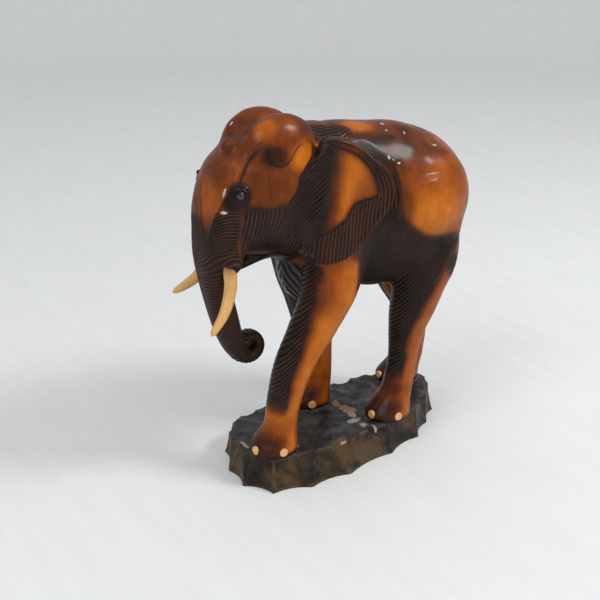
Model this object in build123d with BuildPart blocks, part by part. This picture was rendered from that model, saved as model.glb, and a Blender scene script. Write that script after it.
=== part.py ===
from build123d import *
from math import atan2, cos, hypot, radians, sin
import os

os.makedirs("parts", exist_ok=True)

# ---------------------------------------------------------------- driving dimensions (mm)
# The elephant faces -Y, its left side is +X, and the base stands on Z = 0.
BASE_HEIGHT = 30
BASE_SIDE_SLOPE = 19
GOUGE_DEPTH = 3
# Corners of the base's underside, walked once round from the front.
BASE_CORNERS = [
    (-2, -128), (30, -130), (58, -112), (69, -74), (70, -29), (61, 29), (50, 72), (31, 99), (12, 123),
    (-18, 137), (-50, 122), (-64, 88), (-68, 46), (-67, 4), (-64, -40), (-58, -78), (-36, -113),
]

NAIL_RADIUS = 4.2
NAIL_LENGTH = 7
NAIL_PROUD = 0.8
SOCKET_MOUTH = 4
NAIL_HEIGHT = BASE_HEIGHT + 6.5
NAIL_SPREAD = 76

DOWEL_RADIUS = 4
DOWEL_DEPTH = 16

FOOT_HALF_WIDTH = 21.5
FOOT_HALF_LENGTH = 23.5

# Each leg: rings of (centre x, centre y, height, half width, half length), from the sole up.
LEGS = {
    "front_left": [
        (29, -93, 30, 20.5, 22.5), (29, -93, 37, 21.5, 23.5), (29, -90, 46, 18.5, 20), (30, -86, 60, 15, 16),
        (31, -80, 90, 16.5, 17.5), (32, -69, 120, 19, 21), (34, -52, 150, 21, 25), (34, -35, 180, 22, 29),
        (31, -27, 210, 20, 29), (20, -25, 236, 12, 20),
    ],
    "front_right": [
        (-34, -12, 30, 20.5, 22.5), (-34, -12, 37, 21.5, 23.5), (-34, -8, 46, 18.5, 20), (-34, -2, 60, 15, 16),
        (-34, -4, 90, 16.5, 17.5), (-34, -7, 120, 19, 21), (-34, -12, 150, 21, 25), (-33, -20, 180, 22, 29),
        (-31, -25, 210, 20, 29), (-20, -25, 236, 12, 20),
    ],
    "hind_left": [
        (33, 42, 30, 20.5, 22.5), (33, 42, 37, 21.5, 23.5), (33, 46, 46, 18.5, 20), (34, 52, 60, 15, 16),
        (35, 57, 90, 14, 15), (36, 60, 120, 17, 18), (37, 66, 145, 21, 24), (37, 75, 175, 22, 29),
        (31, 83, 207, 20, 29), (20, 84, 235, 12, 20),
    ],
    "hind_right": [
        (-28, 102, 30, 20.5, 22.5), (-28, 102, 37, 21.5, 23.5), (-28, 108, 46, 18.5, 20), (-28, 117, 60, 15, 16),
        (-29, 122, 88, 14, 15), (-31, 115, 116, 17, 19), (-33, 106, 142, 21, 26), (-34, 99, 172, 22, 31),
        (-31, 93, 207, 20, 30), (-20, 90, 235, 12, 20),
    ],
}

# Body: rings of (centre y, centre height, half width, half height), from the chest to the rump.
BODY_RINGS = [
    (-84, 258, 22, 30), (-72, 262, 32, 46), (-50, 267, 40, 65), (-15, 260, 46, 76), (30, 249, 53, 82),
    (70, 249, 57, 76), (104, 249, 52, 63), (128, 247, 38, 46), (142, 245, 22, 28), (148, 244, 9, 12),
]

# Head and neck: rings of (centre y, centre height, half width, half height), from the brow back.
HEAD_RINGS = [
    (-145, 268, 20, 20), (-139, 271, 29, 33), (-127, 275, 36, 44), (-110, 280, 41, 54), (-86, 284, 44, 61),
    (-60, 280, 44, 62), (-30, 268, 44, 64),
]

# The two domes on top of the head.
DOME_SPREAD = 17
DOME_RINGS = [
    (-112, 316, 9, 9), (-104, 320, 17, 18), (-88, 325, 22, 25), (-70, 327, 23, 28), (-52, 321, 20, 25),
    (-38, 311, 11, 14),
]

# Pointed lower lip: rings of (centre y, centre height, half width, half height).
LIP_RINGS = [(-115, 213, 3, 4), (-108, 219, 8, 8), (-92, 229, 16, 13), (-70, 237, 22, 18)]

# Trunk centre line, (y, height, half width, half depth), from the brow down to where the curl begins.
TRUNK_RINGS = [
    (-116, 296, 32, 22), (-126, 265, 31, 22), (-134.5, 236, 26, 17), (-136, 212, 20, 14), (-133.5, 190, 16.5, 12.6),
    (-129, 170, 15, 12.3), (-124.5, 153, 14, 11.8), (-119.5, 138.5, 13.4, 10.4), (-113.5, 128, 12.6, 8.6),
    (-108, 122.5, 8.5, 4.5),
]
# The curl winds once up and round inside itself: turns in degrees, then how its size falls off.
CURL_CENTRE = (-103.5, 134)
CURL_TURNS = range(-165, 186, 35)
CURL_REACH = (12.6, 7)
CURL_HALF_WIDTH = (11.6, 9.2)
CURL_HALF_DEPTH = (7.6, 4)

# Ear outline as (distance back along the ear, height), on a plate that stands away from the neck.
EAR_POINT = (45, -38, 0)
EAR_FLARE = 14
EAR_THICKNESS = 17
EAR_OUTLINE = [
    (-17, 218), (-31, 232), (-33, 262), (-25, 300), (-8, 328), (14, 329), (35, 313), (55, 297), (61, 272),
    (46, 250), (27, 229), (6, 219),
]
EAR_EDGE_RADIUS = 3

# Tail, carved in relief down the rump.
TAIL_RINGS = [(145, 264, 5, 5), (149, 240, 5, 5), (147, 215, 5, 5), (142, 192, 5.5, 5), (138, 172, 3, 3)]

# Eye beads: the left one's front, and the way it looks.
EYE_RADIUS = 3.8
EYE_LENGTH = 8
EYE_DOME = 2.4
EYE_FRONT = (36.5, -128.5, 292)
EYE_LOOK = (0.87, -0.47, 0.12)

# Tusks: rings of (x, y, height, radius) from the buried root to the blunt tip. The two aren't quite a pair.
TUSKS = {
    "left": [
        (24, -123, 240, 5), (27, -134, 226, 6), (30, -136, 211, 5.8), (34, -141, 199, 5.3), (40, -150, 188, 4.5),
        (45.5, -162, 178.5, 3.1), (46.5, -164.5, 176.5, 1.6),
    ],
    "right": [
        (-24, -122, 238, 5), (-26, -131, 223, 6), (-30, -132, 209, 5.7), (-35, -138, 198, 5.1), (-40, -147, 190.5, 4.3),
        (-44, -154, 185.5, 3), (-45, -156, 184, 1.6),
    ],
}


# ---------------------------------------------------------------- shared shapes
def oval(plane, half_width, half_height):
    """A smooth closed outline that always starts on the plane's own x axis, so rings never twist."""
    with BuildSketch(plane) as outline:
        with BuildLine():
            points = [
                (half_width * cos(radians(turn)), half_height * sin(radians(turn))) for turn in range(0, 360, 45)
            ]
            Spline(points, periodic=True)
        make_face()
    return outline.sketch


def carved_along_y(rings, centre_x=0):
    """A rounded mass that runs from front to back through upright rings."""
    with BuildPart() as mass:
        loft(
            [
                oval(Plane(origin=(centre_x, y, height), x_dir=(1, 0, 0), z_dir=(0, -1, 0)), half_width, half_height)
                for y, height, half_width, half_height in rings
            ]
        )
    return mass.part


def carved_leg(rings):
    """A leg that rises through level rings from its flat sole."""
    with BuildPart() as leg:
        loft([oval(Plane((x, y, height)), half_width, half_length) for x, y, height, half_width, half_length in rings])
    return leg.part


def carved_along_path(rings):
    """A tapering tube in the middle plane whose rings stand square to its own centre line."""
    points = [Vector(0, y, height) for y, height, _, _ in rings]
    faces = []
    for place, (_, _, half_width, half_depth) in enumerate(rings):
        ahead = points[min(place + 1, len(points) - 1)]
        behind = points[max(place - 1, 0)]
        plane = Plane(origin=points[place], x_dir=(1, 0, 0), z_dir=ahead - behind)
        faces.append(oval(plane, half_width, half_depth))
    with BuildPart() as tube:
        loft(faces)
    return tube.part


def curl_shape():
    """The trunk's curl, wound by formula from under the trunk round to its own inside."""
    faces = []
    for turn in CURL_TURNS:
        share = (turn - CURL_TURNS[0]) / (CURL_TURNS[-1] - CURL_TURNS[0])
        reach, half_width, half_depth = (
            begin + share * (end - begin) for begin, end in (CURL_REACH, CURL_HALF_WIDTH, CURL_HALF_DEPTH)
        )
        centre = (0, CURL_CENTRE[0] + reach * cos(radians(turn)), CURL_CENTRE[1] + reach * sin(radians(turn)))
        plane = Plane(origin=centre, x_dir=(1, 0, 0), z_dir=(0, -sin(radians(turn)), cos(radians(turn))))
        faces.append(oval(plane, half_width, half_depth))
    with BuildPart() as curl:
        loft(faces)
    return curl.part


def ear_shape():
    """The left ear: one rounded plate that flares away from the neck."""
    flare = radians(EAR_FLARE)
    plate_plane = Plane(origin=EAR_POINT, x_dir=(sin(flare), cos(flare), 0), z_dir=(cos(flare), -sin(flare), 0))
    with BuildPart() as ear:
        with BuildSketch(plate_plane):
            with BuildLine():
                Spline(EAR_OUTLINE, periodic=True)
            make_face()
        extrude(amount=-EAR_THICKNESS)
        fillet(ear.faces().sort_by(Axis(EAR_POINT, tuple(plate_plane.z_dir)))[-1].edges(), EAR_EDGE_RADIUS)
    return ear.part


def foot_surface(leg_name, turn):
    """The point on a foot's side at the nails' height, in the direction of turn."""
    centre_x, centre_y = LEGS[leg_name][1][:2]
    reach = 1 / hypot(cos(radians(turn)) / FOOT_HALF_WIDTH, sin(radians(turn)) / FOOT_HALF_LENGTH)
    return (centre_x + reach * cos(radians(turn)), centre_y + reach * sin(radians(turn)), NAIL_HEIGHT)


def nail_planes(leg_name):
    """Planes that face outward at a foot's three toenails, named by where they sit."""
    outer_turn, step = (-6, -NAIL_SPREAD) if leg_name.endswith("left") else (186, NAIL_SPREAD)
    planes = {}
    for count, place in enumerate(("outer", "front", "inner")):
        turn = outer_turn + count * step
        outward = (cos(radians(turn)), sin(radians(turn)), 0)
        planes[place] = Plane(origin=foot_surface(leg_name, turn), x_dir=(0, 0, 1), z_dir=outward)
    return planes


def eye_plane(side):
    """The plane at the front of an eye bead, facing outward; side is 1 for the left and -1 for the right."""
    front_x, front_y, front_z = EYE_FRONT
    look_x, look_y, look_z = EYE_LOOK
    return Plane(origin=(side * front_x, front_y, front_z), x_dir=(0, 0, 1), z_dir=(side * look_x, look_y, look_z))


def tusk_shape(rings):
    """A curved, blunt-tipped tusk whose rings stand square to its own centre line."""
    points = [Vector(x, y, height) for x, y, height, _ in rings]
    faces = []
    for place, ring in enumerate(rings):
        run = points[min(place + 1, len(points) - 1)] - points[max(place - 1, 0)]
        plane = Plane(origin=points[place], x_dir=run.cross(Vector(0, 1, 0)), z_dir=run)
        faces.append(oval(plane, ring[3], ring[3]))
    with BuildPart() as tusk:
        loft(faces)
    return tusk.part


# ---------------------------------------------------------------- the carving, one block of wood
body_mass = carved_along_y(BODY_RINGS)
head_mass = carved_along_y(HEAD_RINGS)
domes = [carved_along_y(DOME_RINGS, side * DOME_SPREAD) for side in (1, -1)]
lip_mass = carved_along_y(LIP_RINGS)
trunk_mass = carved_along_path(TRUNK_RINGS)
curl_mass = curl_shape()
tail_mass = carved_along_path(TAIL_RINGS)
leg_masses = [carved_leg(rings) for rings in LEGS.values()]
left_ear = ear_shape()
tusks = {side_name: tusk_shape(rings) for side_name, rings in TUSKS.items()}

with BuildPart() as carving:
    add(body_mass)
    add(head_mass)
    add(leg_masses)
    add(domes)
    add(lip_mass)
    add(trunk_mass)
    add(curl_mass)
    add(tail_mass)
    add(left_ear)
    add(left_ear.mirror(Plane.YZ))
    # Sockets for the tusks, the eye beads, the toenails and the dowels.
    add(tusks.values(), mode=Mode.SUBTRACT)
    for side in (1, -1):
        with Locations(eye_plane(side).offset(-EYE_LENGTH)):
            Cylinder(
                EYE_RADIUS,
                EYE_LENGTH + SOCKET_MOUTH,
                align=(Align.CENTER, Align.CENTER, Align.MIN),
                mode=Mode.SUBTRACT,
            )
    for leg_name, rings in LEGS.items():
        for plane in nail_planes(leg_name).values():
            with Locations(plane.offset(NAIL_PROUD - NAIL_LENGTH)):
                Cylinder(
                    NAIL_RADIUS,
                    NAIL_LENGTH + SOCKET_MOUTH,
                    align=(Align.CENTER, Align.CENTER, Align.MIN),
                    mode=Mode.SUBTRACT,
                )
        with Locations((rings[0][0], rings[0][1], BASE_HEIGHT)):
            Cylinder(
                DOWEL_RADIUS, DOWEL_DEPTH, align=(Align.CENTER, Align.CENTER, Align.MIN), mode=Mode.SUBTRACT
            )
carving.part.label = "carving"
export_step(carving.part, "parts/carving.step")


# ---------------------------------------------------------------- the base
def gouge_cut(start, end):
    """The plane and radius of the round gouge that hollows one side between two corners."""
    run_x, run_y = end[0] - start[0], end[1] - start[1]
    chord = hypot(run_x, run_y)
    outward = atan2(-run_x, run_y)
    radius = (chord**2 / 4 + GOUGE_DEPTH**2) / (2 * GOUGE_DEPTH)
    slope = radians(BASE_SIDE_SLOPE)
    up_the_side = Vector(-sin(slope) * cos(outward), -sin(slope) * sin(outward), cos(slope))
    off_the_side = Vector(cos(slope) * cos(outward), cos(slope) * sin(outward), sin(slope))
    middle = Vector((start[0] + end[0]) / 2, (start[1] + end[1]) / 2, 0)
    return Plane(origin=middle + off_the_side * (radius - GOUGE_DEPTH), z_dir=up_the_side), radius


with BuildPart() as base:
    with BuildSketch():
        with BuildLine():
            Polyline(BASE_CORNERS, close=True)
        make_face()
    extrude(amount=BASE_HEIGHT, taper=BASE_SIDE_SLOPE)
    for start, end in zip(BASE_CORNERS, BASE_CORNERS[1:] + BASE_CORNERS[:1]):
        plane, radius = gouge_cut(start, end)
        with Locations(plane):
            Cylinder(radius, 4 * BASE_HEIGHT, mode=Mode.SUBTRACT)
    for rings in LEGS.values():
        with Locations((rings[0][0], rings[0][1], BASE_HEIGHT)):
            Cylinder(
                DOWEL_RADIUS, DOWEL_DEPTH, align=(Align.CENTER, Align.CENTER, Align.MAX), mode=Mode.SUBTRACT
            )
base.part.label = "base"
export_step(base.part, "parts/base.step")


# ---------------------------------------------------------------- dowels, tusks, eyes, toenails
for leg_name, rings in LEGS.items():
    with BuildPart(Plane((rings[0][0], rings[0][1], BASE_HEIGHT))) as dowel:
        Cylinder(DOWEL_RADIUS, 2 * DOWEL_DEPTH)
    dowel.part.label = f"dowel_{leg_name}"
    export_step(dowel.part, f"parts/dowel_{leg_name}.step")

    for place, plane in nail_planes(leg_name).items():
        with BuildPart(plane.offset(NAIL_PROUD)) as nail:
            Cylinder(NAIL_RADIUS, NAIL_LENGTH, align=(Align.CENTER, Align.CENTER, Align.MAX))
            fillet(nail.faces().sort_by(Axis(plane.origin, plane.z_dir))[-1].edges(), NAIL_PROUD)
        nail.part.label = f"nail_{leg_name}_{place}"
        export_step(nail.part, f"parts/nail_{leg_name}_{place}.step")

for side_name, side in (("left", 1), ("right", -1)):
    with BuildPart() as tusk:
        add(tusks[side_name])
    tusk.part.label = f"tusk_{side_name}"
    export_step(tusk.part, f"parts/tusk_{side_name}.step")

    with BuildPart(eye_plane(side)) as eye:
        Cylinder(EYE_RADIUS, EYE_LENGTH, align=(Align.CENTER, Align.CENTER, Align.MAX))
        fillet(eye.edges().filter_by(GeomType.CIRCLE).sort_by(Axis(EYE_FRONT, eye_plane(side).z_dir))[-1], EYE_DOME)
    eye.part.label = f"eye_{side_name}"
    export_step(eye.part, f"parts/eye_{side_name}.step")
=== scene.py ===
import math

import bpy
import numpy as np
import openvdb
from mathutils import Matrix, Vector


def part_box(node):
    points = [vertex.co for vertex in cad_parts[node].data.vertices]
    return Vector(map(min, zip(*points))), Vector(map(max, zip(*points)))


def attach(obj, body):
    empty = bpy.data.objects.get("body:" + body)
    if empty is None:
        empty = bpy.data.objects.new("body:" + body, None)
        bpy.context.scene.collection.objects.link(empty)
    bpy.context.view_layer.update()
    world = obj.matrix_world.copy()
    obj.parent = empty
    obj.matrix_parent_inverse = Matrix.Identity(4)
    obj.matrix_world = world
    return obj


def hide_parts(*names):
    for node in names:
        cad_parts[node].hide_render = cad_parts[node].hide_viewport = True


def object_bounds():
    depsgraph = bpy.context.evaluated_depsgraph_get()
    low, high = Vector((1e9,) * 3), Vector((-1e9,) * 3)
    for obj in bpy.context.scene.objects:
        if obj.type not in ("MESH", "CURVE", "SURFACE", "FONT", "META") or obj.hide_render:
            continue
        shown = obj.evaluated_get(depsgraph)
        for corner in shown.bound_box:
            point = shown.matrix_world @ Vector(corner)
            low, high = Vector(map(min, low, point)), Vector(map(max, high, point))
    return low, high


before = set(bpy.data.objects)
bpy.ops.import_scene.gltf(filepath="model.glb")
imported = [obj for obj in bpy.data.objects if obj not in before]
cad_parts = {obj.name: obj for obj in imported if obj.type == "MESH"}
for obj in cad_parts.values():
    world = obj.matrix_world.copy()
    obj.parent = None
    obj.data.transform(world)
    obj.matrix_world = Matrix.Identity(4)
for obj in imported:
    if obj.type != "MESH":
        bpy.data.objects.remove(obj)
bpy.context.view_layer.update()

MM = 0.001
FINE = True
WOOD_STEP = 0.7 if FINE else 1.3
BASE_STEP = 0.8 if FINE else 1.5

FAR = 60.0  # the distance that an empty block of clay starts with
SPLINE_ROWS = 200  # rows that a mass is read from
BOXY = 2.15  # how full the corners of the body's and the legs' ovals are

# The carving was drawn, in millimetres, between these two corners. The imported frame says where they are.
DRAWN_LOW = np.array([-59.2, -151.2, 30.0])
DRAWN_HIGH = np.array([60.2, 154.0, 355.0])


# ================================================================ clay: signed distances on a grid
def smooth_min(one, other, blend):
    """The lower of two distance fields, with their meeting rounded over the blend width."""
    share = np.clip(0.5 + 0.5 * (other - one) / blend, 0, 1)
    return other + (one - other) * share - blend * share * (1 - share)


def ease(value, start, end):
    """0 at start, 1 at end, and a smooth step between them."""
    share = np.clip((value - start) / (end - start), 0, 1)
    return share * share * (3 - 2 * share)


def fall(value, start, end):
    """1 at start, 0 at end, and a smooth step between them."""
    return ease(-value, -end, -start)


def bell(value, width):
    """1 where the value is 0, fading on both sides."""
    return np.exp(-((value / width) ** 2))


def mix(one, other, share):
    return one + (other - one) * share


def between_corners(grid, corner, part):
    """A grid's values inside its cells, blended from the eight corners of each."""
    total = np.zeros(len(part), dtype=np.float32)
    for dx, dy, dz in np.ndindex(2, 2, 2):
        weight = (
            (part[:, 0] if dx else 1 - part[:, 0])
            * (part[:, 1] if dy else 1 - part[:, 1])
            * (part[:, 2] if dz else 1 - part[:, 2])
        )
        total += weight * grid[corner[:, 0] + dx, corner[:, 1] + dy, corner[:, 2] + dz]
    return total


class Clay:
    """A block of signed distances in millimetres that shapes are added to and cut from."""

    def __init__(self, low, high, step):
        self.low = np.array(low, dtype=np.float32)
        self.step = step
        counts = np.ceil((np.array(high) - self.low) / step).astype(int) + 1
        self.axes = [
            (self.low[axis] + step * np.arange(counts[axis])).astype(np.float32) for axis in range(3)
        ]
        self.field = np.full(counts, FAR, dtype=np.float32)

    def window(self, low, high):
        """The part of the grid inside a box, and its x, y and z, ready to broadcast."""
        cut = tuple(
            slice(
                int(np.searchsorted(self.axes[axis], low[axis])),
                int(np.searchsorted(self.axes[axis], high[axis])),
            )
            for axis in range(3)
        )
        x, y, z = (self.axes[axis][cut[axis]] for axis in range(3))
        return cut, x[:, None, None], y[None, :, None], z[None, None, :]

    def add(self, shape, low, high, blend=1.0):
        cut, x, y, z = self.window(low, high)
        self.field[cut] = smooth_min(self.field[cut], shape(x, y, z), blend)

    def cut(self, shape, low, high, blend=1.0):
        cut, x, y, z = self.window(low, high)
        self.field[cut] = -smooth_min(-self.field[cut], shape(x, y, z), blend)

    def sample(self, points):
        """Distances at points, read between the grid's corners."""
        place = (points - self.low) / self.step
        place = np.clip(place, 0, np.array(self.field.shape) - 1.001)
        corner = place.astype(np.int32)
        return between_corners(self.field, corner, (place - corner).astype(np.float32))

    def slope(self, points, reach=None):
        """The field's gradient at points, which points out of the surface."""
        reach = reach or self.step
        columns = []
        for axis in range(3):
            shift = np.zeros(3, dtype=np.float32)
            shift[axis] = reach
            columns.append((self.sample(points + shift) - self.sample(points - shift)) / (2 * reach))
        return np.stack(columns, axis=1)

    def surface(self):
        """Points, unit normals and quads of the surface, settled exactly onto it."""
        grid = openvdb.FloatGrid(FAR)
        grid.copyFromArray(self.field)
        points, quads = grid.convertToQuads(0.0)
        points = points.astype(np.float32) * self.step + self.low
        for _ in range(3):
            slope = self.slope(points)
            steep = np.maximum((slope**2).sum(axis=1), 0.05)
            move = (self.sample(points) / steep)[:, None] * slope
            points -= np.clip(move, -self.step, self.step)
        normals = self.slope(points)
        normals /= np.maximum(np.linalg.norm(normals, axis=1, keepdims=True), 1e-6)
        return points, normals, quads.astype(np.int32)


def on_spline(a, b, c, d, t):
    """A point between b and c on the smooth curve through a, b, c and d."""
    return 0.5 * (2 * b + (c - a) * t + (2 * a - 5 * b + 4 * c - d) * t**2 + (3 * b - a - 3 * c + d) * t**3)


def spline_rows(rows, count=SPLINE_ROWS):
    """Many rows on a smooth curve through a few rows."""
    rows = np.array(rows, dtype=np.float64)
    before = np.vstack([2 * rows[0] - rows[1], rows, 2 * rows[-1] - rows[-2]])
    place = np.linspace(0, len(rows) - 1, count)
    index = np.minimum(place.astype(int), len(rows) - 2)
    t = (place - index)[:, None]
    return on_spline(*(before[index + shift] for shift in range(4)), t).astype(np.float32)


def oval_distance(across, along, half_across, half_along, square=2.0):
    """Roughly the distance to an oval; square above 2 fills its corners."""
    u = np.abs(across / half_across) + 1e-6
    v = np.abs(along / half_along) + 1e-6
    reach = (u**square + v**square) ** (1 / square)
    slope = np.sqrt((u ** (square - 1) / half_across) ** 2 + (v ** (square - 1) / half_along) ** 2)
    return (reach - 1) / (slope * reach ** (1 - square))


def egg(centre, radii, turn=(0, 0, 0), both_sides=False):
    """An ellipsoid, turned about x, then y, then z (degrees)."""
    ax, ay, az = (math.radians(angle) for angle in turn)
    rx = np.array([[1, 0, 0], [0, math.cos(ax), -math.sin(ax)], [0, math.sin(ax), math.cos(ax)]])
    ry = np.array([[math.cos(ay), 0, math.sin(ay)], [0, 1, 0], [-math.sin(ay), 0, math.cos(ay)]])
    rz = np.array([[math.cos(az), -math.sin(az), 0], [math.sin(az), math.cos(az), 0], [0, 0, 1]])
    axes = (rz @ ry @ rx).T.astype(np.float32)

    def distance(x, y, z):
        x = np.abs(x) if both_sides else x
        dx, dy, dz = x - centre[0], y - centre[1], z - centre[2]
        local = [row[0] * dx + row[1] * dy + row[2] * dz for row in axes]
        reach = np.sqrt(sum((part / radius) ** 2 for part, radius in zip(local, radii))) + 1e-6
        slope = np.sqrt(sum((part / radius**2) ** 2 for part, radius in zip(local, radii))) + 1e-6
        return reach * (reach - 1) / slope

    return distance


def add_egg(clay, centre, radii, blend, turn=(0, 0, 0), both_sides=False, carve=False):
    """Add or carve an ellipsoid, on both flanks if asked."""
    margin = max(radii) + blend + 3
    low = [value - margin for value in centre]
    high = [value + margin for value in centre]
    if both_sides:
        low[0] = -high[0]
    action = clay.cut if carve else clay.add
    action(egg(centre, radii, turn, both_sides), low, high, blend)


def stack_along_y(rings, square=2.0):
    """A mass through upright ovals: (y, height, half width, half height)."""
    table = spline_rows(rings)

    def distance(x, y, z):
        row = np.clip(y, table[0, 0], table[-1, 0])
        height, wide, tall = (
            np.interp(row, table[:, 0], table[:, column]).astype(np.float32) for column in (1, 2, 3)
        )
        side = oval_distance(x, z - height, wide, tall, square)
        past = np.abs(y - row)
        return np.where(past > 0, np.sqrt(np.maximum(side, 0) ** 2 + past**2), side)

    return distance


def stack_along_z(rings, square=2.0):
    """A leg through level ovals: (x, y, height, half width, half length)."""
    table = spline_rows(rings)

    def distance(x, y, z):
        row = np.clip(z, table[0, 2], table[-1, 2])
        centre_x, centre_y, wide, long = (
            np.interp(row, table[:, 2], table[:, column]).astype(np.float32) for column in (0, 1, 3, 4)
        )
        side = oval_distance(x - centre_x, y - centre_y, wide, long, square)
        past = np.abs(z - row)
        return np.where(past > 0, np.sqrt(np.maximum(side, 0) ** 2 + past**2), side)

    return distance


def nearest_row(table, flat_y, flat_z):
    """For points in the middle plane: their reach from a path, in half depths, and the path row."""
    best = np.full(flat_y.shape, 1e9, dtype=np.float32)
    which = np.zeros(flat_y.shape, dtype=np.int32)
    for number, row in enumerate(table):
        away = (np.hypot(flat_y - row[0], flat_z - row[1]) / row[3]).astype(np.float32)
        near = away < best
        best[near] = away[near]
        which[near] = number
    return best, which


def tube_in_middle(rings, square_top=2.0):
    """A tube in the middle plane: (y, height, half width, half depth) along its centre line."""
    table = spline_rows(rings, 260)
    squares = np.linspace(square_top, 2.0, len(table)).astype(np.float32)

    def distance(x, y, z):
        flat_y, flat_z = np.broadcast_arrays(y[0], z[0])
        best, which = nearest_row(table, flat_y, flat_z)
        wide, deep, square = table[which, 2][None], table[which, 3][None], squares[which][None]
        return oval_distance(x, best[None] * deep, wide, deep, square)

    return distance


def closed_curve(points, per_span=8):
    """A smooth closed outline through a few points."""
    ring = np.array(points + points[:3], dtype=np.float64)
    rolled = np.vstack([ring[-4:-3], ring])
    steps = np.arange(per_span) / per_span
    spans = [rolled[number : number + 4] for number in range(len(points))]
    return np.array([on_spline(*span, t) for span in spans for t in steps])


def outline_distance(outline, u, v):
    """Signed distance to a closed outline, negative inside."""
    outline = np.asarray(outline, dtype=np.float64)
    best = np.full(u.shape, 1e9, dtype=np.float32)
    inside = np.zeros(u.shape, dtype=bool)
    for start, end in zip(outline, np.roll(outline, -1, axis=0)):
        run = end - start
        share = np.clip(((u - start[0]) * run[0] + (v - start[1]) * run[1]) / (run @ run), 0, 1)
        best = np.minimum(best, np.hypot(u - start[0] - share * run[0], v - start[1] - share * run[1]))
        crosses = (start[1] > v) != (end[1] > v)
        at = start[0] + (v - start[1]) / (run[1] if run[1] else 1e-9) * run[0]
        inside ^= crosses & (u < at)
    return np.where(inside, -best, best).astype(np.float32)


def patch(outline, u, v, soft):
    """1 inside a smooth outline and 0 outside, easing over the soft width."""
    outline = closed_curve(outline, 3)
    low, high = outline.min(axis=0) - soft, outline.max(axis=0) + soft
    share = np.zeros(u.shape, dtype=np.float32)
    near = (u > low[0]) & (u < high[0]) & (v > low[1]) & (v < high[1])
    share[near] = ease(-outline_distance(outline, u[near], v[near]), -soft / 2, soft / 2)
    return share


class Wobble:
    """Smooth seeded noise between -1 and 1."""

    def __init__(self, seed):
        lattice = np.random.RandomState(seed).uniform(-1, 1, (32, 32, 32)).astype(np.float32)
        self.lattice = np.pad(lattice, (0, 1), mode="wrap")

    def at(self, points, size):
        place = points / size + 1000.0
        corner = np.floor(place).astype(np.int64)
        part = (place - corner).astype(np.float32)
        return between_corners(self.lattice, corner % 32, part * part * (3 - 2 * part))


# ================================================================ the elephant's masses (mm)
BODY = [
    (-84, 258, 22, 30), (-72, 262, 32, 46), (-50, 267, 40, 65), (-15, 260, 46, 76), (30, 249, 53, 82),
    (70, 249, 57, 76), (104, 249, 52, 63), (128, 247, 38, 46), (142, 245, 22, 28), (148, 244, 9, 12),
]
HEAD = [
    (-145, 268, 20, 20), (-139, 271, 29, 33), (-127, 275, 36, 44), (-110, 280, 41, 54), (-86, 284, 44, 61),
    (-60, 280, 44, 62), (-30, 268, 44, 64),
]
TRUNK = [
    (-116, 296, 32, 22), (-126, 265, 31, 22), (-134.5, 236, 26, 17), (-136, 212, 20, 14),
    (-133.5, 190, 16.5, 12.6), (-129, 170, 15, 12.3), (-124.5, 153, 14, 11.8), (-119.5, 138.5, 13.2, 10.4),
    (-113.5, 128, 12.6, 8.8),
]
CURL_CENTRE = (-103.5, 134)
LIP = [(-115, 213, 3, 4), (-108, 219, 8, 8), (-92, 229, 16, 13), (-70, 237, 22, 18)]
TAIL = [(145, 264, 5, 5), (149, 240, 5, 5), (147, 215, 5, 5), (142, 192, 5.5, 5), (138, 172, 3, 3)]
LEGS = {
    "front_left": [
        (29, -93, 30, 20.5, 22.5), (29, -93, 37, 21.5, 23.5), (29, -90, 46, 18.5, 20), (30, -86, 60, 15, 16),
        (31, -80, 90, 16.5, 17.5), (32, -69, 120, 19, 21), (34, -52, 150, 21, 25), (34, -35, 180, 22, 29),
        (31, -27, 210, 20, 29), (20, -25, 236, 12, 20),
    ],
    "front_right": [
        (-34, -12, 30, 20.5, 22.5), (-34, -12, 37, 21.5, 23.5), (-34, -8, 46, 18.5, 20), (-34, -2, 60, 15, 16),
        (-34, -4, 90, 16.5, 17.5), (-34, -7, 120, 19, 21), (-34, -12, 150, 21, 25), (-33, -20, 180, 22, 29),
        (-31, -25, 210, 20, 29), (-20, -25, 236, 12, 20),
    ],
    "hind_left": [
        (33, 42, 30, 20.5, 22.5), (33, 42, 37, 21.5, 23.5), (33, 46, 46, 18.5, 20), (34, 52, 60, 15, 16),
        (35, 57, 90, 14, 15), (36, 60, 120, 17, 18), (37, 66, 145, 21, 24), (37, 75, 175, 22, 29),
        (31, 83, 207, 20, 29), (20, 84, 235, 12, 20),
    ],
    "hind_right": [
        (-28, 102, 30, 20.5, 22.5), (-28, 102, 37, 21.5, 23.5), (-28, 108, 46, 18.5, 20),
        (-28, 117, 60, 15, 16), (-29, 122, 88, 14, 15), (-31, 115, 116, 17, 19), (-33, 106, 142, 21, 26),
        (-34, 99, 172, 22, 31), (-31, 93, 207, 20, 30), (-20, 90, 235, 12, 20),
    ],
}
EAR_ORIGIN = (45, -38)
EAR_FLARE = math.radians(14)
EAR_OUTLINE = [
    (-17, 218), (-31, 232), (-33, 262), (-25, 300), (-8, 328), (14, 329), (35, 313), (55, 297), (61, 272),
    (46, 250), (27, 229), (6, 219),
]
EYE_FRONT = np.array([36.5, -128.5, 292])
EYE_LOOK = np.array([0.87, -0.47, 0.12])
EYE_LOOK /= np.linalg.norm(EYE_LOOK)
SOLE = 30.0


def ear_frame(x, y):
    """Ear coordinates of a point: how far back along the ear, and how far out from its plate."""
    dx, dy = np.abs(x) - EAR_ORIGIN[0], y - EAR_ORIGIN[1]
    back = math.sin(EAR_FLARE) * dx + math.cos(EAR_FLARE) * dy
    return back, math.cos(EAR_FLARE) * dx - math.sin(EAR_FLARE) * dy


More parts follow.
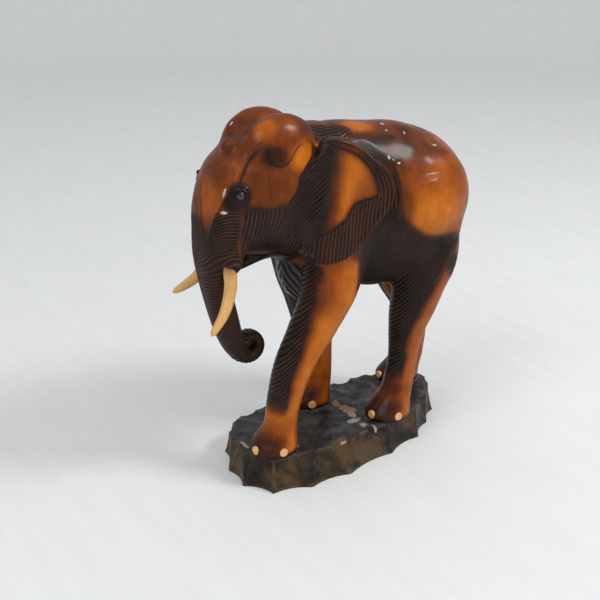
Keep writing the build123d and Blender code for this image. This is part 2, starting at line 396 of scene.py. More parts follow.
EAR_TABLE_U = np.arange(-75, 90, 1.0)
EAR_TABLE_V = np.arange(200, 350, 1.0)
EAR_TABLE = outline_distance(closed_curve(EAR_OUTLINE), *np.meshgrid(EAR_TABLE_U, EAR_TABLE_V, indexing="ij"))


def ear_edge(u, v):
    """Signed distance from the ear's outline, read from its table."""
    a = np.clip(u - EAR_TABLE_U[0], 0, len(EAR_TABLE_U) - 1.001)
    b = np.clip(v - EAR_TABLE_V[0], 0, len(EAR_TABLE_V) - 1.001)
    i, j = a.astype(int), b.astype(int)
    s, t = a - i, b - j
    return (
        EAR_TABLE[i, j] * (1 - s) * (1 - t) + EAR_TABLE[i + 1, j] * s * (1 - t)
        + EAR_TABLE[i, j + 1] * (1 - s) * t + EAR_TABLE[i + 1, j + 1] * s * t
    )


def ear_plate(x, y, z):
    """The ear: a thick leaf, dished in front, with its rim rolled outward."""
    u, out = ear_frame(x, y)
    u, out, v = np.broadcast_arrays(u, out, z)
    edge = ear_edge(u, v)
    rim = bell(edge + 3.5, 3.0)
    face = 1.6 * rim - 3.2 * bell(u + 30, 14) * (1 - rim)
    back = -15.0
    middle = (face + back) / 2
    half = (face - back) / 2
    round_edge = 3.0
    flat = edge + round_edge
    thick = np.abs(out - middle) - half + round_edge
    inside = np.minimum(np.maximum(flat, thick), 0)
    return np.hypot(np.maximum(flat, 0), np.maximum(thick, 0)) - round_edge + inside


def curl_rings():
    """The trunk's tip, wound up and round inside itself."""
    rings = []
    for turn in np.arange(-165, 196, 20):
        share = (turn + 165) / 360
        reach = 12.6 - 6.2 * share
        angle = math.radians(turn)
        rings.append(
            (
                CURL_CENTRE[0] + reach * math.cos(angle), CURL_CENTRE[1] + reach * math.sin(angle),
                12.4 - 3.0 * share, 7.9 - 3.9 * share,
            )
        )
    return rings


def model_elephant(step):
    """The carved block before its lines are cut."""
    clay = Clay((-68, -166, 24), (68, 172, 364), step)
    clay.add(stack_along_y(BODY, BOXY), (-68, -110, 150), (68, 172, 350), 1)
    clay.add(stack_along_y(HEAD, BOXY), (-60, -166, 190), (60, 0, 364), 14)
    for rings in LEGS.values():
        near, far = (-6, 68) if rings[0][0] > 0 else (-68, 6)
        middle = [ring[1] for ring in rings]
        clay.add(stack_along_z(rings, BOXY), (near, min(middle) - 50, 24), (far, max(middle) + 50, 262), 13)
    add_egg(clay, (36, -24, 232), (16, 27, 44), 14, both_sides=True)  # shoulders
    add_egg(clay, (37, 78, 258), (24, 46, 46), 12, both_sides=True)  # hips
    add_egg(clay, (38, 99, 204), (15, 16, 34), 14, both_sides=True)  # backs of the thighs
    add_egg(clay, (17.5, -76, 323), (21.5, 37, 30), 5, turn=(-8, 0, 0), both_sides=True)  # domes
    add_egg(clay, CHEST_CENTRE, CHEST_RADII, 5)
    add_egg(clay, (2, -118, 326), (8.5, 8.5, 8), 4)  # boss on the forehead
    add_egg(clay, (7, -137, 316), (6, 7.5, 6.5), 4, carve=True)  # hollow under it
    clay.add(stack_along_y(LIP), (-34, -125, 190), (34, -40, 262), 5)
    clay.add(tube_in_middle(TRUNK, 3.0), (-44, -166, 110), (44, -70, 320), 6)
    clay.add(tube_in_middle(curl_rings()), (-20, -130, 105), (20, -70, 165), 1.5)
    add_egg(clay, (0, -103, 134.5), (30, 2.6, 2.6), 1.5, carve=True)  # hole in the middle of the curl
    add_egg(clay, (46.5, -60, 283), (7.5, 10, 36), 3, turn=(-16, 0, 0), both_sides=True, carve=True)
    for side in (1, -1):
        low, high = ((20, -90, 205), (68, 40, 345)) if side > 0 else ((-68, -90, 205), (-20, 40, 345))
        clay.add(ear_plate, low, high, 3)
    add_egg(clay, (41, -126, 277), (5, 4.5, 4), 3, both_sides=True, carve=True)  # pouch under the eye
    add_egg(clay, EYE_FRONT - 6.8 * EYE_LOOK, (6.0, 8.0, 7.0), 6, both_sides=True)  # mound round the eye
    add_egg(clay, EYE_FRONT + 4.2 * EYE_LOOK, (6.4, 6.4, 6.4), 1.5, both_sides=True, carve=True)
    lid_root = EYE_FRONT - 3.0 * EYE_LOOK
    add_egg(clay, lid_root + (0, 0.6, 3.4), (2.8, 5.8, 1.8), 1.2, turn=(-24, 0, 0), both_sides=True)
    add_egg(clay, lid_root + (0, 0.2, -3.3), (2.8, 5.2, 1.5), 1.2, turn=(-8, 0, 0), both_sides=True)
    for along, swell in ((0.1, 7.6), (0.5, 8.2), (0.9, 8.6)):  # the sheaths that the tusks come out of
        add_egg(
            clay, (22 + 4.5 * along, -122 - 11 * along, 243 - 16 * along), (swell, swell, swell + 2), 4,
            both_sides=True,
        )
    clay.add(tube_in_middle(TAIL), (-14, 130, 155), (14, 172, 280), 3)
    clay.cut(lambda x, y, z: z - SOLE + 0 * x + 0 * y, (-68, -166, 24), (68, 172, 34), 0.2)
    return clay


# ================================================================ lines cut into the carving
# Outlines of its patches seen from the side, (y, height), the same on both flanks.
TEMPLE = [
    (-128, 295), (-127, 302), (-122.5, 310), (-116, 318), (-108.5, 326), (-101.5, 332.5), (-98.5, 330),
    (-98.5, 322), (-94.5, 315.5), (-87, 314), (-80, 317.5), (-75, 323.5), (-69, 329.5), (-60, 332), (-52, 328),
    (-51, 319), (-70, 300), (-88, 277), (-112, 275), (-124, 279),
]
BAND = [(-52, 324), (-49, 318), (-66, 300), (-88, 276), (-90, 262), (-76, 262), (-74, 288), (-57, 312)]
CHEEK = [(-128, 278), (-100, 276), (-86, 277), (-76, 264), (-70, 240), (-72, 226), (-112, 226), (-124, 236)]
HOLLOW = [
    (-51, 322), (-57, 314), (-76, 292), (-78, 262), (-72, 240), (-50, 222), (-44, 240), (-46, 268), (-42, 292),
    (-40, 318),
]
FLANK = [
    (20, 300), (25, 276), (34, 250), (48, 236), (67, 225), (94, 221), (104, 219), (98, 203), (84, 186),
    (74, 174), (64, 166), (56, 150), (0, 150), (-14, 190), (-8, 226), (8, 262), (12, 296),
]
CHEST_CENTRE, CHEST_RADII = (0, -45, 203), (28, 20, 37)
HIP_CENTRE, HIP_RADII = (66, 252), (43, 33)
# Patches of the ear, (back along the ear, height).
EAR_PANEL = [
    (-12, 322), (-16, 300), (-20, 270), (-26, 246), (-19, 242), (-4, 248), (4, 252.5), (11, 257.5), (16, 264.5),
    (22, 270), (31, 273), (43, 276), (41, 290), (34, 303), (26, 312), (16, 319), (2, 323.5),
]
# Lines on top of the neck, (x, y).
NECK_TOP = [(15, -52), (11, -18), (15, -4), (24, -6), (31, -30), (31, -48)]
CHIPS = [
    ((10, 41, 329), (1.9, 1.5, 3)), ((21, 38, 325), (1.0, 0.8, 3)), ((25, 56, 321), (1.7, 0.8, 3)),
    ((37, 84, 308), (1.2, 2.6, 3)), ((40, 27, 305), (3, 1.1, 1.9)), ((44, 31, 303), (3, 0.7, 1.3)),
    ((-22, -95, 349), (1.3, 6.0, 4)), ((25, -139, 295), (0.9, 3, 5.0)), ((27.5, -140, 277), (3.6, 3, 1.5)),
    ((20, 8, 330), (0.7, 0.7, 3)), ((-16, -106, 343), (0.9, 2.2, 4)), ((45, 36, 299), (3, 1.8, 0.8)),
]
# Airbrushed colour: centre, radii, how light (0 near black, 1 amber) and how strong, on both flanks.
SPRAYS = [
    ((20, 60, 330), (60, 110, 40), 0.48, 0.9),
    ((30, 10, 318), (30, 34, 24), 0.34, 0.7),
    ((58, 20, 262), (26, 26, 44), 0.20, 0.8),
    ((56, 76, 258), (30, 58, 46), 0.66, 1.0),
    ((58, 68, 250), (30, 36, 28), 0.90, 0.9),
    ((34, 128, 236), (24, 22, 44), 0.62, 0.8),
    ((44, 30, 300), (18, 22, 18), 0.36, 0.7),
    ((0, 150, 250), (24, 30, 90), 0.45, 0.7),
    ((18, -80, 350), (30, 44, 30), 0.46, 1.0),
    ((26, -97, 343), (10, 13, 13), 0.84, 0.7),
    ((38, -94, 321), (12, 17, 12), 0.20, 0.9),
    ((30, -62, 344), (12, 12, 10), 0.30, 0.5),
    ((8, -122, 318), (26, 22, 26), 0.38, 0.9),
    ((40, -100, 297), (16, 26, 22), 0.47, 0.9),
    ((40, -112, 306), (12, 12, 9), 0.40, 0.6),
    ((40, -60, 318), (16, 22, 16), 0.86, 1.0),
    ((0, -146, 296), (32, 14, 12), 0.56, 0.8),
    ((33, -132, 287), (12, 13, 15), 0.10, 1.0),
    ((50, -22, 190), (14, 24, 34), 0.84, 0.9),
    ((38, -64, 222), (16, 18, 14), 0.10, 1.0),
    ((50, -4, 222), (12, 22, 10), 0.20, 0.9),
    ((4, 4, 334), (10, 40, 10), 0.26, 0.6),
    ((14, 10, 333), (14, 26, 12), 0.78, 0.9),
    ((16, 109, 307), (20, 26, 16), 0.62, 0.8),
    ((40, 66, 300), (14, 26, 10), 0.44, 0.7),
    ((46, 104, 293), (16, 16, 14), 0.68, 0.7),
    ((41, 30, 304), (12, 16, 9), 0.18, 0.8),
    ((39, 48, 309), (12, 15, 8), 0.24, 0.7),
    ((56, 33, 258), (12, 14, 26), 0.40, 0.8),
    ((30, 26, 318), (10, 20, 8), 0.26, 0.6),
]


def leg_place(name, points):
    """Where points are round a leg: distance from its skin, and forward and outward shares of its ovals."""
    rings = LEGS[name]
    table = spline_rows(rings)
    x, y, z = points.T
    row = np.clip(z, table[0, 2], table[-1, 2])
    centre_x, centre_y, wide, long = (np.interp(row, table[:, 2], table[:, column]) for column in (0, 1, 3, 4))
    skin = stack_along_z(rings, BOXY)(x, y, z)
    outward = (x - centre_x) / wide * math.copysign(1, rings[0][0])
    return skin, (centre_y - y) / long, outward


class Finish:
    """What the knife and the airbrush did at each point of the carving's surface, and the shade painted into
    some of its creases and notches.
    """

    def __init__(self, points, normals):
        self.points, self.normals = points, normals
        self.x, self.y, self.z = points.T
        self.ax = np.abs(self.x)
        self.rough, self.fine = Wobble(7), Wobble(11)
        nothing = np.zeros((5, len(points)), dtype=np.float32)
        self.phase, self.lines, self.relief, self.gloss, self.chips = nothing
        self.tone = np.full(len(points), 0.5, dtype=np.float32)
        self.u, out = ear_frame(self.x, self.y)
        self.edge = ear_edge(self.u, self.z)
        self.on_ear = ease(out, -13.5, -12.0) * fall(self.edge, -0.6, 0.8) * ease(self.ax, 30, 34)
        self.ear_flow = self.u + 0.0145 * np.maximum(self.z - 272, 0) ** 2 - 0.10 * (self.z - 250)

    def shade(self, light, share):
        """Spray towards a lightness: 0 is near black and 1 is amber. Painted shade is laid on with it too."""
        self.tone = mix(self.tone, light, share)

    def hatch(self, mask, phase, light, strength=1.0):
        """Cut lines over a patch and shade it."""
        self.phase = np.where(mask > 0.5, phase, self.phase)
        self.lines = np.maximum(self.lines * (1 - mask), mask)
        self.shade(light, mask * strength)

    def smooth(self, share):
        """Leave out lines."""
        self.lines = self.lines * (1 - share)


def spray_colour(work):
    for centre, radii, light, strength in SPRAYS:
        parts = zip((work.ax, work.y, work.z), centre, radii)
        away = np.sqrt(sum(((part - middle) / radius) ** 2 for part, middle, radius in parts))
        work.shade(light, strength * ease(1.15 - away, 0, 0.75))


def cut_flank(work):
    """Lines over the flank, and on the belly between the legs."""
    y, z, ax = work.y, work.z, work.ax
    off_legs = np.ones(len(z))
    for name in LEGS:
        off_legs *= ease(leg_place(name, work.points)[0], 0.5, 3.0)
    belly = fall(z, 192, 206) * ease(y, -40, -20) * fall(y, 112, 128) * np.where(z > 150, off_legs, 0)
    flank = np.maximum(patch(FLANK, y, z, 12) * ease(ax, 18, 30), belly)
    work.hatch(flank, (0.74 * y - 0.68 * z + 0.15 * ax) / 3.1, 0.10)


def cut_neck(work):
    """Lines behind the ear and on top of the neck."""
    y, z, ax, edge = work.y, work.z, work.ax, work.edge
    round_ear = fall(edge, 7, 11) * ease(edge, -0.5, 0.5) * ease(work.u, 18, 30)
    work.hatch(round_ear * ease(z, 250, 262) * fall(z, 314, 326), work.ear_flow / 3.4, 0.22)
    neck_top = patch(NECK_TOP, ax, y, 5) * ease(z, 315, 322)
    work.hatch(neck_top, (ax + 0.25 * y) / 3.0, 0.24, 0.8)


# What differs between front and hind legs: how light the smooth front is, where the dark back ends at the top,
# where its lines begin, how they climb and how light they are, how light the ankle is, and how far forward the
# dark back reaches at some heights.
FRONT_LEG = {
    "light": 0.84, "top": (212, 228), "lines_from": (84, 100), "climb": 0.70, "line_light": 0.14, "ankle": 0.72,
    "heights": (78, 95, 120, 140, 153, 168, 186, 226),
    "border": (0.40, 0.55, 0.56, 0.73, 0.81, 0.87, 0.90, 0.85),
}
HIND_LEG = {
    "light": 0.70, "top": (186, 206), "lines_from": (72, 90), "climb": 0.74, "line_light": 0.10, "ankle": 0.56,
    "heights": (82, 123, 146, 167, 186, 210), "border": (0.62, 0.60, 0.46, 0.22, -0.15, -0.48),
}
TOE_TURNS = (6, 82, 158)


def cut_leg(work, name):
    """A leg: smooth in front, dark and lined at the back, with three toes round its foot."""
    z = work.z
    skin, forward, outward = leg_place(name, work.points)
    kind = FRONT_LEG if name.startswith("front") else HIND_LEG
    near = fall(skin, 1.5, 3.5)
    own = near * fall(z, 186, 206)
    work.shade(kind["light"], own * fall(z, 160, 190))
    work.shade(0.50, own * fall(forward, -0.9, -0.25) * fall(z, 140, 170))
    past = forward + 0.08 * work.rough.at(work.points, 12) - np.interp(z, kind["heights"], kind["border"])
    work.shade(0.30, own * bell(past, 0.30) * ease(z, 66, 96) * 0.85)
    inner = -0.75 if name.endswith("left") else -0.2
    outer_side = ease(outward, inner, inner + 0.15) * near * fall(z, *kind["top"])
    work.shade(0.14, ease(past, -0.2, 0.1) * outer_side * ease(z, 66, 86) * 0.9)
    lined = ease(past, -0.07, 0.07) * outer_side * ease(z, *kind["lines_from"])
    # a coordinate that runs round the corner from the chest to the flank, as a hand would
    sweep = 0.55 * work.ax + 0.84 * work.y
    climb = kind["climb"]
    work.hatch(lined, (climb * sweep - math.sqrt(1 - climb**2) * z) / 2.9, kind["line_light"])
    ankle = own * ease(z, 46, 62) * fall(z, 70, 90)
    work.shade(kind["ankle"], ankle * fall(lined, 0.2, 0.6) * fall(z, 62, 72))
    if kind is HIND_LEG:
        work.shade(0.28, own * ease(z, 54, 60) * fall(z, 76, 90) * ease(forward, 0.1, 0.7) * 0.8)
    # painted shade: the far front leg darkened from its middle up, where it stands under the chest
    if name == "front_right":
        work.shade(0.20, own * ease(z, 118, 150))
    work.shade(0.27, own * fall(z, 44, 62) * ease(forward, -0.4, 0.6))
    work.shade(0.16, own * fall(z, 31, 37))
    toward = np.degrees(np.arctan2(forward, outward))
    toes = sum(bell(toward - turn, 20) for turn in TOE_TURNS) * bell(z - 43, 9)
    work.relief += own * 0.8 * np.minimum(toes, 1) * ease(z, 38, 42)


def cut_chest(work):
    """Wide glossy scales on the chest."""
    x, y, z, ax = work.x, work.y, work.z, work.ax
    ball = egg(CHEST_CENTRE, CHEST_RADII)(x, y, z)
    chest = fall(ball, 0.8, 2.5) * fall(work.normals[:, 1], -0.25, 0.1) * fall(z, 234, 240)
    scales = (z + 1.2 * ax + 1.5 * np.abs(np.sin((ax - 0.5 * z) / 6.5))) / 11.0
    work.hatch(chest, scales, 0.05)
    work.gloss = chest


def cut_cheek(work):
    """The cheek and throat, the band in front of the ear, and the dark hollow behind that."""
    y, z, ax = work.y, work.z, work.ax
    off_ear = 1 - work.on_ear
    face = ease(ax, 20, 27) * off_ear
    work.shade(0.16, patch(CHEEK, y, z, 20) * face)
    bend = 0.0022 * np.maximum(z - 245, 0) ** 2 * ease(y, -110, -80)
    work.hatch(patch(CHEEK, y, z, 8) * face, (0.97 * y - 0.12 * (z - 250) - bend) / 3.5, 0.17)
    throat = fall(z, 230, 240) * ease(z, 200, 208) * ease(y, -122, -112) * fall(y, -70, -60)
    work.shade(0.10, throat * (1 - work.gloss) * off_ear)
    work.hatch(patch(BAND, y, z, 3.5) * face, (0.87 * y - 0.5 * z) / 2.9, 0.18)
    work.hatch(patch(HOLLOW, y, z, 3) * ease(ax, 26, 32) * off_ear, (0.72 * y - 0.70 * z) / 3.2, 0.04)


def cut_ear(work):
    """The ear: a sunk smooth panel with a lined rim, shaded in front into the dark hollow."""
    u, z, on_ear = work.u, work.z, work.on_ear
    panel = patch(EAR_PANEL, u, z, 1.2) * on_ear
    panel_soft = patch(EAR_PANEL, u, z, 14) * on_ear
    rim = on_ear * (1 - panel)
    top_roll = rim * ease(z + 0.2 * u, 318, 323) * fall(u, 20, 34)
    work.hatch(rim, work.ear_flow / 3.6, 0.22)
    work.smooth(0.85 * top_roll)
    work.shade(0.42, top_roll * 0.8)
    work.shade(0.42 + 0.40 * ease(panel_soft, 0.55, 1.0), panel)
    work.shade(0.46, panel * ease(u - 0.5 * (z - 285), 14, 34) * 0.7)
    work.smooth(panel)
    work.shade(0.16, panel * fall(z + 0.5 * u, 240, 262) * 0.9)
    # how far back from the dark hollow: the panel's front is shaded into it, with no edge
    from_hollow = u - np.interp(z, (245, 266, 290, 318), (-19, -12, -8, -5))
    front_part = on_ear * fall(from_hollow, -3, 6) * ease(z, 230, 240)
    work.hatch(front_part, (0.72 * work.y - 0.70 * z) / 2.9, 0.04)
    work.shade(0.34, on_ear * fall(from_hollow, 9, 26) * 0.8)
    work.shade(0.05, on_ear * fall(from_hollow, 0, 15) * (1 - 0.4 * fall(z, 245, 262)))
    border = outline_distance(closed_curve(EAR_PANEL, 3), u, z)
    edged = on_ear * ease(from_hollow, 0, 6)
    top_edge = edged * ease(z + 0.6 * u, 300, 312)
    work.relief -= edged * panel * 1.3 * fall(border, -3, 0)
    work.relief += edged * 0.7 * bell(border - 1.6, 1.3)
    work.relief -= top_edge * 0.8 * bell(border - 4.6, 0.8)
    # painted shade: dark lines at the foot of the panel's sunk edge and in the groove along its top
    work.shade(0.06, edged * bell(border + 0.2, 0.9) * 0.8)
    work.shade(0.10, top_edge * bell(border - 4.6, 0.9) * 0.7)


def cut_temple(work):
    """The hollow temple: crisp under the brow and the dome, soft below, with painted shade along its crisp edge
    and a drying crack in it.
    """
    y, z, ax = work.y, work.z, work.ax
    edge = outline_distance(closed_curve(TEMPLE, 4), y, z)
    temple = fall(edge, -0.8, 0.6) * ease(ax, 16, 24) * (1 - work.on_ear)
    crisp = np.maximum(ease(z + 0.35 * y, 268, 276), fall(y, -118, -112) * ease(z, 289, 296))
    deep = mix(fall(edge, -16, 2), fall(edge, -1.0, 0.6), crisp)
    fade = fall(z, 322, 333)
    work.relief -= 1.8 * temple * deep * fade
    brow = crisp * (1 - work.on_ear) * ease(ax, 12, 20)
    work.relief += brow * 1.1 * bell(edge - 2.0, 2.4) * fall(y, -106, -99)
    # painted shade: a dark line along the crisp edge of the temple
    work.shade(0.12, temple * crisp * fade * bell(edge + 0.9, 1.2) * 0.8)
    crack = bell(y + 101 + 0.08 * (z - 296), 0.7) * ease(z, 278, 286) * fall(z, 304, 312) * temple
    work.relief -= 0.3 * crack
    work.shade(0.30, crack * 0.6)


def along_trunk(y, z):
    """How far down the trunk and round its curl points of the middle plane are."""
    path = spline_rows(TRUNK[:8] + curl_rings(), 420)
    length = np.concatenate([[0], np.cumsum(np.hypot(np.diff(path[:, 0]), np.diff(path[:, 1])))])
    runs = np.gradient(path[:, :2], axis=0)
    runs /= np.linalg.norm(runs, axis=1, keepdims=True)
    _, which = nearest_row(path, y, z)
    offset = np.stack([y, z], axis=1) - path[which, :2]
    return length[which] + (offset * runs[which]).sum(axis=1)


def cut_trunk(work):
    """Chevrons round the trunk, a smooth V between the eyes, and the ridge over each tusk."""
    x, y, z, ax = work.x, work.y, work.z, work.ax
    front = (y < -84) & (z < 312)
    along = np.zeros(len(z), dtype=np.float32)
    along[front] = along_trunk(y[front], z[front])
    # the trunk ends at the throat below, at the tusks' sheaths in the middle and at the cheeks above
    end = mix(-110.0, -127.0, ease(z, 222, 238))
    end = mix(-84.0, end, ease(z, 190, 206))
    off_leg = ease(leg_place("front_left", work.points)[0], 1.0, 2.0)
    trunk = ease(end - y, -0.6, 0.6) * off_leg * (z > 108) * front * fall(z, 290, 300)
    spread = np.abs(x - 11.0 * ease(z, 235, 255))
    v_half = 14.5 * np.clip((z - 244) / 42, 0, 1.3)
    v_panel = trunk * ease(v_half - spread, -1.0, 1.0) * ease(z, 247, 252)
    chevron = 0.55 * spread * ease(z, 205, 245) + 0.12 * spread
    top = mix(268.0, 279.0, ease(x, 4, 16))
    work.shade(0.20, 0.30 * trunk * fall(x, -6, 2) * ease(z, 262, 272))
    work.hatch(trunk * (1 - v_panel) * ease(top - z, -4, 6), (along + chevron) / 2.8, 0.19)
    work.shade(0.12 + 0.55 * ease(z, 246, 280), v_panel)
    work.shade(0.12, trunk * (1 - v_panel) * fall(z, 120, 160) * 0.5)
    work.relief -= 0.9 * v_panel
    work.relief += 0.8 * trunk * bell(spread - v_half - 1.5, 1.5) * ease(z, 250, 262)
    ridge = ease(z, 225, 245) * fall(z, 272, 285) * ease(ax, 24, 30) * bell(y + 127.5, 1.7)
    work.relief += 1.2 * ridge
    work.shade(0.42, 0.7 * ridge)
    work.smooth(0.8 * ridge)


def cut_eye(work):
    """Lids and wrinkles round the bead."""
    from_eye = np.stack([work.ax, work.y, work.z], axis=1) - EYE_FRONT
    depth = from_eye @ EYE_LOOK
    ring = np.sqrt(np.maximum((from_eye**2).sum(axis=1) - depth**2, 0))
    near_eye = fall(ring, 13, 17) * ease(depth, -16, -12) * ease(work.ax, 14, 20)
    lids = bell(ring - 6.4, 1.2) * 0.7
    wrinkles = 0.35 * np.cos((ring - 5.9) * 2 * math.pi / 3.1) * ease(ring, 6.5, 8) * fall(ring, 10, 14)
    work.relief += near_eye * (lids + wrinkles * ease(from_eye[:, 1] + 0.4 * from_eye[:, 2], -3, 5))
    work.shade(0.10, near_eye * fall(ring, 8, 13))
    work.smooth(near_eye)


def cut_rump(work):
    """The hip, which stands out with a shelf along its top, the notch below it, darkened with painted shade,
    and the tail, with painted shade in the crease beside it.
    """
    y, z, ax = work.y, work.z, work.ax
    hip_away = np.hypot((y - HIP_CENTRE[0]) / HIP_RADII[0], (z - HIP_CENTRE[1]) / HIP_RADII[1])
    shelf = ease(0.7 * (z - HIP_CENTRE[1]) - 0.7 * (y - HIP_CENTRE[0]), 2, 20)
    work.relief += 3.8 * ease(1.12 - hip_away, 0, mix(1.0, 0.30, shelf)) * ease(ax, 26, 40)
    notch = bell(y - 104, 9) * bell(z - 215, 5) * ease(ax, 20, 30)
    # painted shade: the notch darkened almost to black
    work.shade(0.03, notch)
    work.relief -= 1.5 * notch
    tail = fall(ax, 6, 8) * ease(y, 136, 140) * ease(z, 168, 172) * fall(z, 258, 268)
    work.hatch(tail * fall(z, 200, 215), (ax * 1.2 + 0.05 * z) / 2.6, 0.15)
    work.shade(0.25, tail * 0.6)
    crease = bell(ax - 8.5, 2.0) * ease(y, 134, 140) * ease(z, 172, 182) * fall(z, 258, 270)
    # painted shade along the crease beside the tail
    work.relief -= 0.9 * crease
    work.shade(0.12, crease * 0.8)


def roughen(work):
    """An unsteady hand, blotches in the lacquer, and chips through it."""
    points, rough = work.points, work.rough
    work.phase = work.phase + 0.16 * rough.at(points, 16) + 0.05 * work.fine.at(points, 5)
    work.lines = work.lines * (0.86 + 0.14 * rough.at(points, 9))
    work.relief += 0.22 * rough.at(points, 13) * (1 - 0.7 * work.lines) + 0.3 * rough.at(points + 50, 27)
    upward = ease(work.normals[:, 2], 0.2, 0.8) * ease(work.z, 280, 300)
    work.tone = work.tone + (0.05 + 0.13 * upward) * rough.at(points + 100, 26)
    work.tone = work.tone + (0.04 + 0.05 * upward) * rough.at(points, 9)
    ragged = 0.3 * work.fine.at(points + 30, 1.5)
    for centre, radii in CHIPS:
        away = np.linalg.norm((points - np.array(centre)) / np.array(radii), axis=1) + ragged
        work.chips = np.maximum(work.chips, ease(1.1 - away, 0, 0.3))
    work.relief -= 0.35 * work.chips


def finish_carving(points, normals):
    """All the work on the surface, in the order in which later work covers earlier work."""
    work = Finish(points, normals)
    spray_colour(work)
    cut_flank(work)
    cut_neck(work)
    for name in LEGS:
        cut_leg(work, name)
    for task in (cut_chest, cut_cheek, cut_ear, cut_temple, cut_trunk, cut_eye, cut_rump, roughen):
        task(work)
    work.lines = np.clip(work.lines, 0, 1)
    work.tone = np.clip(work.tone, 0, 1)
    return work


VALLEY_POWER = 1.4


def valley(phase):
    """How deep into a cut line a point is: 0 on the ridge and 1 at the bottom."""
    return (0.5 + 0.5 * np.cos(2 * math.pi * phase)) ** VALLEY_POWER


# ================================================================ meshes
def place_in_frame(points):
    """Millimetres as drawn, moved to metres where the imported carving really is."""
    low, high = (np.array(corner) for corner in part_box("carving"))
    return low + (points - DRAWN_LOW) * (high - low) / (DRAWN_HIGH - DRAWN_LOW)


def build_mesh(name, points, faces, attributes=()):
    """A smooth mesh object from arrays of points and same-sized faces."""
    mesh = bpy.data.meshes.new(name)
    faces = np.asarray(faces, dtype=np.int32)
    sides = faces.shape[1]
    mesh.vertices.add(len(points))
    mesh.vertices.foreach_set("co", np.asarray(points, dtype=np.float32).ravel())
    mesh.loops.add(faces.size)
    mesh.loops.foreach_set("vertex_index", faces.ravel())
    mesh.polygons.add(len(faces))
    mesh.polygons.foreach_set("loop_start", np.arange(0, faces.size, sides, dtype=np.int32))
    mesh.update(calc_edges=True)
    mesh.validate()
    mesh.polygons.foreach_set("use_smooth", np.ones(len(mesh.polygons), dtype=bool))
    for label, values in attributes:
        layer = mesh.attributes.new(label, "FLOAT", "POINT")
        layer.data.foreach_set("value", np.asarray(values, dtype=np.float32))
    shown = bpy.data.objects.new(name, mesh)
    bpy.context.scene.collection.objects.link(shown)
    return shown


def band(first, second):
    """Quads between two rings of vertex numbers."""
    return np.column_stack([first, np.roll(first, -1), np.roll(second, -1), second])


def lid(ring):
    """Quads that fill a ring of vertex numbers, strip by strip."""
    half = len(ring) // 2
    back = ring[::-1]
    return np.column_stack([ring[: half - 1], ring[1:half], back[1:half], back[: half - 1]])


# ================================================================ materials
class Nodes:
    """A material's node tree, written as short calls."""

    def __init__(self, name):
        self.material = bpy.data.materials.new(name)
        self.material.use_nodes = True
        self.tree = self.material.node_tree
        self.shader = self.tree.nodes["Principled BSDF"]
        self.coordinates = self.tree.nodes.new("ShaderNodeTexCoord").outputs["Object"]

    def link(self, value, socket):
        if isinstance(value, bpy.types.NodeSocket):
            self.tree.links.new(value, socket)
        else:
            socket.default_value = value

    def attribute(self, name):
        node = self.tree.nodes.new("ShaderNodeAttribute")
        node.attribute_name = name
        return node.outputs["Fac"]

    def math(self, operation, one, other=0.0, third=0.0):
        node = self.tree.nodes.new("ShaderNodeMath")
        node.operation = operation
        for value, socket in zip((one, other, third), node.inputs):
            self.link(value, socket)
        return node.outputs[0]

    def sway(self, value, noise, amount):
        """A value moved up and down by a noise."""
        return self.math("ADD", value, self.math("MULTIPLY", self.math("SUBTRACT", noise, 0.5), amount))

    def stretch(self, scale):
        node = self.tree.nodes.new("ShaderNodeMapping")
        self.link(self.coordinates, node.inputs["Vector"])
        node.inputs["Scale"].default_value = scale
        return node.outputs[0]

    def noise(self, scale, detail=3.0, rough=0.55, vector=None, distortion=0.0):
        node = self.tree.nodes.new("ShaderNodeTexNoise")
        self.link(vector or self.coordinates, node.inputs["Vector"])
        node.inputs["Scale"].default_value = scale
        node.inputs["Detail"].default_value = detail
        node.inputs["Roughness"].default_value = rough
        node.inputs["Distortion"].default_value = distortion
        return node.outputs["Fac"]

    def cells(self, scale):
        node = self.tree.nodes.new("ShaderNodeTexVoronoi")
        self.link(self.coordinates, node.inputs["Vector"])
        node.inputs["Scale"].default_value = scale
        return node.outputs["Distance"]

    def ramp(self, value, stops):
        node = self.tree.nodes.new("ShaderNodeValToRGB")
        self.link(value, node.inputs["Fac"])
        while len(node.color_ramp.elements) < len(stops):
            node.color_ramp.elements.new(0.5)
        for element, (place, colour) in zip(node.color_ramp.elements, stops):
            element.position = place
            element.color = (*colour, 1)
        return node.outputs["Color"]

    def range(self, value, low, high, to_low=0.0, to_high=1.0):
        node = self.tree.nodes.new("ShaderNodeMapRange")
        for amount, socket in zip((value, low, high, to_low, to_high), node.inputs):
            self.link(amount, socket)
        return node.outputs[0]

    def mix(self, share, one, other):
        node = self.tree.nodes.new("ShaderNodeMix")
        node.data_type = "RGBA"
        self.link(share, node.inputs[0])
        for value, socket in zip((one, other), (node.inputs[6], node.inputs[7])):
            self.link((*value, 1) if isinstance(value, tuple) else value, socket)
        return node.outputs[2]

    def bump(self, height, distance, strength, normal=None):
        node = self.tree.nodes.new("ShaderNodeBump")
        node.inputs["Distance"].default_value = distance
        node.inputs["Strength"].default_value = strength
        self.link(height, node.inputs["Height"])
        if normal is not None:
            self.link(normal, node.inputs["Normal"])
        return node.outputs[0]

    def finish(self, colour, roughness, normal, **fixed):
        self.link(colour, self.shader.inputs["Base Color"])
        self.link(roughness, self.shader.inputs["Roughness"])
        self.link(normal, self.shader.inputs["Normal"])
        for label, value in fixed.items():
            self.shader.inputs[label.replace("_", " ")].default_value = value
        return self.material


LACQUER = [
    (0.0, (0.006, 0.0035, 0.003)),
    (0.12, (0.015, 0.007, 0.005)),
    (0.28, (0.052, 0.014, 0.005)),
    (0.48, (0.150, 0.032, 0.004)),
    (0.68, (0.330, 0.075, 0.004)),
    (0.86, (0.500, 0.132, 0.006)),
    (1.0, (0.640, 0.200, 0.010)),
]


